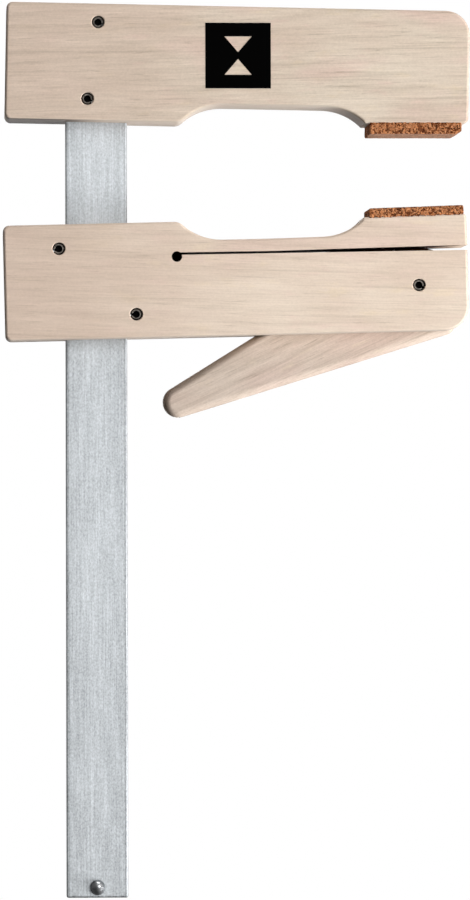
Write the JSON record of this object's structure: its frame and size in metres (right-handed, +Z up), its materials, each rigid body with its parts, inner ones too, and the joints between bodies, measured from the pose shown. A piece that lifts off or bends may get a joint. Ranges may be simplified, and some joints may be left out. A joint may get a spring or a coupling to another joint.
{
  "type": "wooden cam clamp",
  "caption": "Light wooden cam clamp: a steel rail pinned in a cork-faced fixed jaw, and a sliding jaw whose sawn lip is lifted by a cam lever.",
  "frame": {"origin": "centre of the fixed jaw's cork face, which bears on the work", "axes": "+Z up along the rail from the sliding jaw towards the fixed jaw, +X along the jaws towards their tips, +Y through the jaws' thickness, away from the side that shows the end stop's dome"},
  "size_m": [0.1511, 0.025, 0.2898],
  "materials": {
    "jaw_wood": "pale sanded hardwood",
    "lever_wood": "sanded hardwood",
    "cork": "granular pressed cork",
    "zinc_steel": "matt zinc plated",
    "polished_steel": "polished",
    "pin_steel": "dark oiled spring steel"
  },
  "bodies": {
    "frame": {"rail": "zinc_steel", "rail_end_stop": "polished_steel", "fixed_jaw": "jaw_wood", "fixed_jaw_pad": "cork", "fixed_jaw_pin_upper": "pin_steel", "fixed_jaw_pin_lower": "pin_steel"},
    "guide": {"guide_pin_upper": "pin_steel"},
    "sliding_jaw": {"sliding_jaw": "jaw_wood", "guide_pin_lower": "pin_steel", "cam_pivot_pin": "pin_steel"},
    "jaw_lip": {"jaw_lip": "jaw_wood", "lip_pad": "cork"},
    "cam_lever": {"cam_lever": "lever_wood"}
  },
  "joints": [
    {"name": "jaw_slide", "type": "slide", "parent": "frame", "child": "guide", "axis": [0, 0, 1], "range_m": [-0.1744, 0.02]},
    {"name": "jaw_tilt", "type": "hinge", "parent": "guide", "child": "sliding_jaw", "pos_m": [-0.11545, 0, -0.03707], "axis": [0, 1, 0], "range_deg": [0, 1.3]},
    {"name": "lever_swing", "type": "hinge", "parent": "sliding_jaw", "child": "cam_lever", "pos_m": [0.00099, 0, -0.04883], "axis": [0, -1, 0], "range_deg": [0, 75]},
    {"name": "lip_lift", "type": "hinge", "parent": "sliding_jaw", "child": "jaw_lip", "pos_m": [-0.04617, 0, -0.03576], "axis": [0, -1, 0], "range_deg": [0, 2.4]}
  ],
  "couplings": [
    {"joint": "lip_lift", "follows": "lever_swing", "ratio": 0.032}
  ]
}
